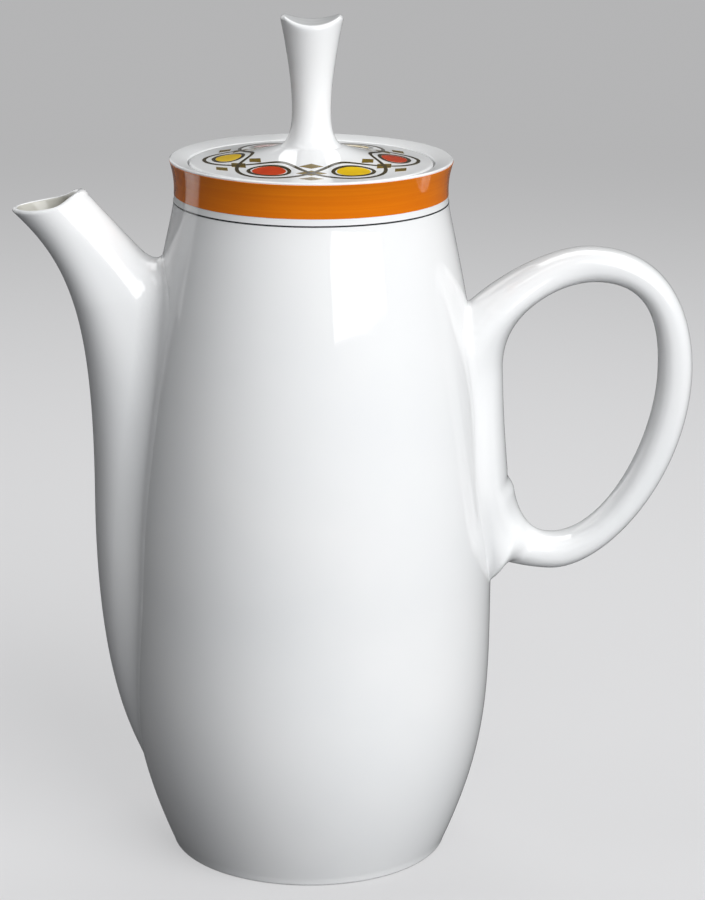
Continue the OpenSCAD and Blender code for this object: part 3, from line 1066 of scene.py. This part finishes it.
@dataclass
class Handle(LutedPart):
    """Ring handle whose inner side is a broad strip down the wall."""

    sides: int = 72
    end: float = 5.0
    right: Vector = field(default_factory=lambda: Vector((117.4, 153.0)))
    top_z: float = 191.7
    low_z: float = 90.1
    crest: float = 32.8
    sag: float = 42.6
    grip_t: float = 10.4
    arm_t: float = 10.4
    arm_shift: Pair = (0.2, 0.1)
    grip_w: float = 16.0
    squareness: float = 2.4
    hole_fills: tuple[Pair, ...] = ((0.3, 0.98), (0.4, 0.68), (0.52, 0.68), (0.53, 0.42))
    ring_fills: tuple[Pair, ...] = ((0.32, 0.87), (0.38, 0.35), (0.42, 0.53))
    stand_top: float = 7.85
    stand_foot: float = 6.04
    tongue_sink: float = 2.04
    notch: Vector = field(default_factory=lambda: Vector((58.7, 92.5)))
    notch_at: float = 3.75
    notch_soft: Pair = (0.2, 0.03)
    notch_ways: tuple[Pair, ...] = ((2.5, 0.6), (1.8, 2.9), (4.0, -1.2), (5.0, 0.0))
    strip_rise: float = 2.0
    strip_len: float = 33.0
    strip_top_w: float = 32.0
    strip_foot_w: float = 40.0
    strip_taper: float = 0.76
    strip_end: float = 86.1
    strip_swell: tuple[Pair, ...] = ((3.06, 0.0), (3.2, 1.7))
    strip_bow: float = 0.3
    lap_at: float = 3.82
    lap_w: float = 1.0
    bury: float = 15.0
    side_fillet: float = 2.2
    edge_fillet: float = 1.0
    crotch_share: tuple[Pair, ...] = ((84.0, 1.0), (96.0, 0.0), (168.0, 0.0), (180.0, 1.0))
    ring_share: tuple[Pair, ...] = ((1.2, 1.0), (2.0, 0.0), (3.6, 0.0), (4.2, 1.0))
    ring_steps: int = 260

    def __post_init__(self) -> None:
        """Works out the ring's fixed points and lines."""
        high = self.right.y + self.strip_rise
        foot = high - self.strip_len
        up_r, low_r = self.pot.radius(high), self.pot.radius(foot)
        top_shift, low_shift = self.arm_shift
        out_top, out_low, strip_high, strip_low, bury_high, bury_low, tip = (Vector(p) for p in (
            (self.right.x - self.crest, self.top_z), (self.right.x - self.sag, self.low_z),
            (up_r + self.stand_top, high), (low_r + self.stand_foot, foot),
            (up_r - self.bury, high), (low_r - self.bury, foot),
            (self.pot.radius(self.strip_end) - self.tongue_sink, self.strip_end),
        ))
        in_right = self.right - Vector((self.grip_t, 0))
        in_top = out_top + self.arm_t * Vector((top_shift, -1))
        in_low = out_low + self.arm_t * Vector((low_shift, 1))
        right, top, self.foot_fills, low = self.hole_fills
        self.foot_ends = strip_low, in_low
        self.hole = Line((0, 1, 2, 3, 4, 5), (
            corner(in_right, in_top, right, True), corner(in_top, strip_high, top, False),
            straight(strip_high, strip_low), corner(strip_low, in_low, self.foot_fills, True),
            corner(in_low, in_right, low, False),
        ))
        right, top, low = self.ring_fills
        tip_way, into_notch, out_of_notch, low_way = (Vector(way) for way in self.notch_ways)
        self.ring = Line((0, 1, 2, 3, 3.5, self.notch_at, 4, 5), (
            corner(self.right, out_top, right, True), corner(out_top, bury_high, top, False),
            straight(bury_high, bury_low), straight(bury_low, tip),
            bend(tip, tip_way, into_notch, self.notch),
            bend(self.notch, out_of_notch, low_way, out_low),
            corner(out_low, self.right, low, False),
        ))
        grip, strip_foot, lap = self.grip_w, self.strip_foot_w, self.grip_w + self.lap_w
        self.widths = (
            (1, grip), (2, self.strip_top_w), (3, strip_foot), (3.5, strip_foot * self.strip_taper),
            (self.lap_at, lap), (4, lap), (5, grip),
        )

    def hole_edge(self, s: float, swell: float) -> Vector:
        """Edge of the finger hole: right side, top, strip, foot corner and lower arm.

        Args:
            s: Place round the ring, from 0 to 5.
            swell: Share of the swell where the strip's clay laps the lower arm.

        Returns:
            The edge's point.
        """
        if 2 < s < 3:
            return self.hole.at(s) - Vector((self.strip_bow * math.sin(math.pi * (s - 2)), 0))
        if 3 < s < 4:
            (start, end), clay = self.foot_ends, swell * between(self.strip_swell, s)
            return cubic(*corner(start + Vector((clay, 0)), end, self.foot_fills, True), s - 3)
        return self.hole.at(s)

    def ring_edge(self, s: float, soft: float) -> Vector:
        """Outside of the ring, which runs inside the body behind the strip.

        Args:
            s: Place round the ring, 0 to 5.
            soft: How far the corner at the notch is rounded, as a share of s.

        Returns:
            The point of the edge, in the handle's plane.
        """
        t = (s - self.notch_at) / (2 * soft) + 0.5
        if not 0 < t < 1:
            return self.ring.at(s)
        a, d = self.ring.at(self.notch_at - soft), self.ring.at(self.notch_at + soft)
        return a * (1 - t) ** 2 + self.notch * (2 * t * (1 - t)) + d * t**2

    def stations(self) -> list[float]:
        """Once round the ring."""
        return [i * self.end / self.ring_steps for i in range(self.ring_steps + 1)]

    def skin(self, along: float, turn: float) -> Vector:
        """Point of the handle's skin.

        Args:
            along: Place on the chain of sections.
            turn: Share of a turn round the section; 0 is the outside of the ring.

        Returns:
            The point.
        """
        s, outwards = along % self.end, math.cos(math.tau * turn)
        outer = self.ring_edge(s, ease(*self.notch_soft, max(0.0, outwards)))
        inner = self.hole_edge(s, max(0.0, -outwards) ** 3)
        out, side = squared(turn, ease(ROUND, self.squareness, between(self.ring_share, s)))
        place = (outer + inner) / 2 + (outer - inner) / 2 * out
        return Vector((place.x, between(self.widths, s) / 2 * side, place.y))

    def fillet(self, point: Vector) -> float:
        """Narrow glaze fillet in the crotch above and under the foot, wider down the sides."""
        return ease(self.side_fillet, self.edge_fillet, between(self.crotch_share, point.z))

    def pieces(self) -> Pieces:
        """Makes the handle."""
        yield Piece("glazed_ring_handle", Ride.POT, "handle_porcelain", "handle"), self.shape()


# ---- lid ----


@dataclass
class Lid:
    """Lid that sweeps up gently to its knob, with a locating flange under it."""

    radius: float = 36.8
    top: float = 217.8
    ledge_z: float = 214.8
    flange_r: float = 32.5
    flange_h: float = 18.0
    flange_t: float = 2.8
    edge_round: float = 0.8
    corner_round: float = 0.4
    root: Pair = (2.0, 0.6)
    crown: float = 4.75
    crown_r: Pair = (9.5, 36.8)
    crown_power: float = 2.1
    steps: int = 160

    def rise(self, r: float) -> float:
        """Height of the sweep above the lid's edge at a distance from the axis."""
        inner, outer = self.crown_r
        return self.crown * min(1.0, max(0.0, (outer - r) / (outer - inner))) ** self.crown_power

    def pieces(self) -> Pieces:
        """Makes the lid.

        Yields:
            The lid.
        """
        ledge, tip, soft = self.ledge_z, self.flange_t / 2, self.corner_round
        middle, inside = ledge - self.flange_h / 2, self.flange_r - self.flange_t
        edge = (self.radius - self.edge_round, self.top - self.edge_round)
        wide, near = self.root
        under = (
            (inside, middle), (inside, ledge - wide), (inside - near, ledge - near),
            (inside - wide, ledge), (inside / 2, ledge), (0, ledge),
        )
        outline = [
            *[Vector((r, self.top + self.rise(r))) for r in (0, self.crown_r[0], *range(10, 36))],
            *arc(edge, self.edge_round, 90, 0, 6),
            *arc((self.radius - soft, ledge + soft), soft, 0, -90, 3),
            *arc((self.flange_r + soft, ledge - soft), soft, 90, 180, 3),
            Vector((self.flange_r, middle)),
            *arc((self.flange_r - tip, ledge - self.flange_h + tip), tip, 0, -180, 10),
            *map(Vector, under),
        ]
        bm = spin_outline(outline, self.steps)
        yield Piece("glazed_lid", Ride.LID, "lid_porcelain", "lid"), bm


@dataclass
class LidKnob:
    """Tall waisted knob with a dished saddle top."""

    lid: Lid
    height: float = 44.0
    stem_r: float = 5.87
    stem_z: float = 15.0
    head_r: float = 9.4
    foot_r: float = 9.5
    foot_sink: Pair = (0.02, 0.6)
    foot_lead: Pair = (-1.6, 0.58)
    stem_pulls: Pair = (0.47, 0.38)
    head_lead: Pair = (0.06, 0.3)
    dip: float = 2.2
    top_round: float = 1.2
    top_rings: tuple[float, ...] = (7.0, 5.0, 3.0, 1.5, 0.0)
    line_steps: int = 24
    steps: int = 96

    def outline(self) -> list[Vector]:
        """Lays out the knob's section before its top is dished.

        Returns:
            The points as (radius, height), from the foot to the top.
        """
        top, soft = self.lid.top, self.top_round
        buried, base = self.foot_sink
        below, above = self.stem_pulls
        foot = Vector((self.foot_r, top + self.lid.rise(self.foot_r) - buried))
        waist = Vector((self.stem_r, top + self.stem_z))
        rim = Vector((self.head_r, top + self.height - soft))
        flare = rim.y - waist.y
        skirt = bend(foot, Vector(self.foot_lead), Vector((0, self.stem_z * below)), waist)
        head = bend(waist, Vector((0, flare * above)), flare * Vector(self.head_lead), rim)
        return [
            *[Vector((r, foot.y - base)) for r in (0, self.foot_r)],
            *run(skirt, self.line_steps),
            *run(head, self.line_steps),
            *arc(rim - Vector((soft, 0)), soft, 0, 90, 6),
            *[Vector((r, top + self.height)) for r in self.top_rings],
        ]

    def pieces(self) -> Pieces:
        """Makes the knob, and presses the saddle into its top.

        Yields:
            The knob.
        """
        bm = spin_outline(self.outline(), self.steps)
        edge = self.head_r - self.top_round
        saddle_r = (edge**2 + self.dip**2) / (2 * self.dip)
        waist_z, rim_z = self.lid.top + self.stem_z, self.lid.top + self.height - self.top_round
        for vert in bm.verts:
            share = ease(0.0, 1.0, (vert.co.z - waist_z) / (rim_z - waist_z))
            x = min(abs(vert.co.x), edge)
            vert.co.z -= share * (self.dip - (saddle_r - math.sqrt(saddle_r**2 - x * x)))
        yield Piece("glazed_lid_knob", Ride.LID, "knob_porcelain", "lid_knob"), bm


@dataclass
class LidBorder:
    """Painted border of the lid: dots between two crossing waves, with small lozenges."""

    lid: Lid
    ring_r: float = 25.0
    wave: float = 7.3
    wave_spans: int = 288
    repeats: int = 6
    stroke: float = 1.15
    dot: Pair = (3.87, 5.4)
    dot_sides: int = 48
    halo: Pair = (5.074, 7.08)
    lozenge: Pair = (2.3, 4.6)
    lozenge_step: float = 5.6
    lozenge_share: float = 0.8
    enamel_t: float = 0.06
    enamel_sink: float = 0.024
    overlap: float = 0.03

    def plates(
        self, places: Sequence[Triple], size: Pair, sides: int, fan: bool = True,
    ) -> BMesh:
        """Lays out flat plates round the border.

        Args:
            places: Each plate's field of the border, its way out from the ring, and its scale.
            size: Half sizes of a plate at full scale, from the axis out and round it.
            sides: Number of a plate's corners.
            fan: Whether a plate is made of triangles round its middle.

        Returns:
            The flat plates.
        """
        bm = bmesh.new()
        for at, shift, scale in places:
            place = (
                Matrix.Rotation(math.tau * at / self.repeats, 4, "Z")
                @ Matrix.Translation((self.ring_r + shift, 0, 0))
                @ Matrix.Diagonal((size[0] * scale, size[1] * scale, 1, 1))
            )
            bmesh.ops.create_circle(
                bm, cap_ends=True, cap_tris=fan, segments=sides, radius=1.0, matrix=place,
            )
        return bm

    def halos(self, places: Sequence[Triple]) -> BMesh:
        """Lays out a thin flat ring round each dot.

        Args:
            places: Places of the dots.

        Returns:
            The flat rings.
        """
        bm = self.plates(places, self.halo, self.dot_sides, fan=False)
        plates = bm.faces[:]
        bmesh.ops.inset_individual(bm, faces=plates, thickness=self.stroke, use_even_offset=True)
        bmesh.ops.delete(bm, geom=plates, context="FACES")
        return bm

    def layer(self, bm: BMesh, lift: float) -> BMesh:
        """Gives the flat painted faces their thickness, on the lid's sweep.

        Args:
            bm: Mesh whose faces lie at height 0.
            lift: Height above the first coat of enamel.

        Returns:
            The same mesh.
        """
        bm.normal_update()
        bmesh.ops.reverse_faces(bm, faces=[face for face in bm.faces if face.normal.z < 0])
        bmesh.ops.solidify(bm, geom=bm.faces[:], thickness=self.enamel_t)
        low = min(v.co.z for v in bm.verts)
        rise = self.lid.top - low - self.enamel_sink + lift
        for vert in bm.verts:
            vert.co.z += rise + self.lid.rise(vert.co.xy.length)
        bmesh.ops.recalc_face_normals(bm, faces=bm.faces)
        return bm

    def waves(self) -> BMesh:
        """Lays out two flat waves that cross between the dots.

        Returns:
            The flat waves.
        """
        bm = bmesh.new()
        bends, spans = self.repeats / 2, self.wave_spans
        for side in (-1, 1):
            made = bmesh.ops.create_circle(bm, segments=spans, radius=1.0)["verts"]
            loop = {edge for vert in made for edge in vert.link_edges}
            grown = bmesh.ops.extrude_edge_only(bm, edges=list(loop))["geom"]
            outer = [item for item in grown if isinstance(item, bmesh.types.BMVert)]
            for vert, step in [*((v, -0.5) for v in made), *((v, 0.5) for v in outer)]:
                angle = math.atan2(vert.co.y, vert.co.x)
                radius = self.ring_r + side * self.wave * math.cos(bends * angle)
                slope = side * self.wave * bends * math.sin(bends * angle) / radius
                reach = radius + step * self.stroke * math.hypot(1.0, slope)
                vert.co = reach * Vector((math.cos(angle), math.sin(angle), 0.0))
        return bm

    def pieces(self) -> Pieces:
        """Makes the border, one piece to each pattern and enamel.

        Yields:
            The painted pieces.
        """
        dots = [(at, 0.0, 1.0) for at in range(self.repeats)]
        lozenges = [
            (at + 0.5, side * self.lozenge_step, self.lozenge_share if side else 1.0)
            for at in range(self.repeats) for side in (-1, 0, 1)
        ]
        for name, flat, lift, coat in (
            ("brick", self.plates(dots[::2], self.dot, self.dot_sides), 0.0, Finish.BRICK),
            ("mustard", self.plates(dots[1::2], self.dot, self.dot_sides), 0.0, Finish.MUSTARD),
            ("olive", self.plates(lozenges, self.lozenge, 4), 0.0, Finish.OLIVE),
            ("umber_waves", self.waves(), self.overlap, Finish.UMBER),
            ("umber_rings", self.halos(dots), self.overlap, Finish.UMBER),
        ):
            piece = Piece(f"lid_border_{name}", Ride.LID, "lid_porcelain", coats=(coat,))
            yield piece, self.layer(flat, lift)


# ---- studio ----


@dataclass(frozen=True)
class SoftLight:
    """A rectangular studio light that faces the pot; 0 degrees is in front and 90 to the right."""

    name: str
    azimuth: float
    elevation: float
    distance: float
    size: Pair
    radiance: float
    aim: Triple = (0.0, 0.0, 0.14)

    def hang(self) -> None:
        """Makes the light and turns it to the pot."""
        across, up = math.radians(self.azimuth), math.radians(self.elevation)
        level = Vector((math.sin(across), -math.cos(across), 0.0)) * math.cos(up)
        away = level + Vector((0.0, 0.0, math.sin(up)))
        lamp = bpy.data.lights.new(self.name, "AREA")
        lamp.shape = "RECTANGLE"
        lamp.size, lamp.size_y = self.size
        lamp.energy = self.radiance * AREA_LIGHT_POWER * lamp.size * lamp.size_y
        obj = show(self.name, lamp)
        obj.location = Vector(self.aim) + away * self.distance
        obj.rotation_euler = (-away).to_track_quat("-Z", "Y").to_euler()


@dataclass(frozen=True)
class Studio:
    """Camera, pale floor, soft lights and the room's even light."""

    camera_place: Triple = (0.0, -0.87782, 0.37572)
    camera_pitch: float = 0.2758
    camera_yaw: float = -0.0149
    camera_roll: float = 0.0079
    focal: float = 117.76
    sensor: float = 36.0
    far_clip: float = 30.0
    floor_r: float = 6.0
    mottle_scale: float = 3.0
    floor_tone: Triple = (0.26, 0.26, 0.263)
    floor_cloud: Triple = (0.247, 0.247, 0.24985)
    floor_edge: Triple = (0.0, 0.0, 0.0)
    floor_glow: Triple = (0.46, 0.46, 0.465)
    floor_bounce: Triple = (0.12, 0.12, 0.124)
    pool_r: Pair = (0.25, 1.3)
    room_tone: Triple = (0.92, 0.94, 0.97)
    room_strength: float = 0.03
    sky_side: Triple = (0.33, -0.94, 0.08)
    sky_focus: float = 8.0
    sky_strength: float = 2.8
    backdrop_strength: float = 0.10
    lights: tuple[SoftLight, ...] = (
        SoftLight("window", 37.0, 32.3, 2.8, (2.26, 2.62), 3.5),
        SoftLight("back_panel", -137.0, 14.0, 2.0, (2.3, 1.07), 0.65),
        SoftLight("back_top", 168.0, 52.0, 2.0, (1.8, 1.1), 2.0),
        SoftLight("overhead", -80.0, 66.0, 1.4, (0.35, 0.9), 1.6),
    )

    def set_camera(self) -> None:
        """Makes the camera."""
        lens = bpy.data.cameras.new("camera")
        lens.sensor_width, lens.lens, lens.clip_end = self.sensor, self.focal, self.far_clip
        obj = show("camera", lens)
        obj.matrix_world = (
            Matrix.Translation(self.camera_place) @ Matrix.Rotation(self.camera_yaw, 4, "Z")
            @ Matrix.Rotation(math.pi / 2 - self.camera_pitch, 4, "X")
            @ Matrix.Rotation(self.camera_roll, 4, "Z")
        )
        bpy.context.scene.camera = obj

    def lay_floor(self) -> None:
        """Makes the floor, a wide pale disc."""
        bm = bmesh.new()
        bmesh.ops.create_circle(bm, cap_ends=True, segments=64, radius=self.floor_r)
        floor = show_mesh("floor", bm)
        floor.data.materials.append(self.floor_material())

    def floor_material(self) -> Material:
        """Pale paper: even and shadowed to the camera, plain in reflections, dim as a light.

        Returns:
            The floor's material.
        """
        sheet = NodeSheet(bpy.data.materials.new("pale_floor"))
        near, far = self.pool_r
        where = sheet.add("TexCoord", output="Object")
        away = sheet.add("VectorMath", {0: where}, "Value", operation="LENGTH")
        pool = {"Value": away, "From Min": near, "From Max": far}
        fade = sheet.add("MapRange", pool, interpolation_type="SMOOTHSTEP")
        mottle = sheet.noise((self.mottle_scale,) * 3, 2.0, 0.5)
        paper = sheet.blend(mottle, self.floor_tone, self.floor_cloud)
        pale = sheet.add("BsdfDiffuse", {"Color": sheet.blend(fade, paper, self.floor_edge)})
        glow, plain = (
            sheet.add("Emission", {"Color": (*tone, 1.0), "Strength": strength})
            for tone, strength in ((self.floor_glow, 1.0), (self.room_tone, self.backdrop_strength))
        )
        lit = sheet.add("AddShader", {0: pale, 1: glow})
        dim = sheet.add("BsdfDiffuse", {"Color": (*self.floor_bounce, 1.0)})
        return sheet.end(sheet.by_ray(lit, plain, dim))

    def light_room(self) -> None:
        """Sets the room's dim light, its plain reflection and the backdrop to the camera.

        The light swells softly in front of the pot and behind it.
        """
        world = bpy.data.worlds.new("room")
        bpy.context.scene.world = world
        sheet = NodeSheet(world)
        where = sheet.add("TexCoord", output="Generated")
        sides = {0: where, 1: self.sky_side}
        swell = sheet.add("VectorMath", sides, "Value", operation="DOT_PRODUCT")
        for operation, value in (
            ("ABSOLUTE", 0.0), ("POWER", self.sky_focus),
            ("MULTIPLY", self.sky_strength), ("ADD", self.room_strength),
        ):
            swell = sheet.add("Math", {0: swell, 1: value}, operation=operation)
        backdrop, mirrored, lighting = (
            sheet.add("Background", {"Color": (*tone, 1.0), "Strength": strength})
            for tone, strength in (
                (self.floor_glow, 1.0), (self.room_tone, self.backdrop_strength),
                (self.room_tone, swell),
            )
        )
        sheet.end(sheet.by_ray(backdrop, mirrored, lighting), "World")

    def build(self) -> None:
        """Makes the whole studio."""
        self.set_camera()
        self.lay_floor()
        self.light_room()
        for light in self.lights:
            light.hang()
        bpy.context.scene.view_settings.view_transform = "Standard"


def main() -> None:
    """Builds the pot piece by piece, then the studio."""
    logging.basicConfig(level=logging.INFO, format="%(message)s")
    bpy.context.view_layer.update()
    finishes = mix_finishes()
    pot, lid = PotBody(), Lid()
    for part in (pot, RimBands(pot), Spout(pot), Handle(pot), lid, LidKnob(lid), LidBorder(lid)):
        for piece, bm in part.pieces():
            piece.finish(bm, finishes)
    Studio().build()


if __name__ == "__main__":
    main()
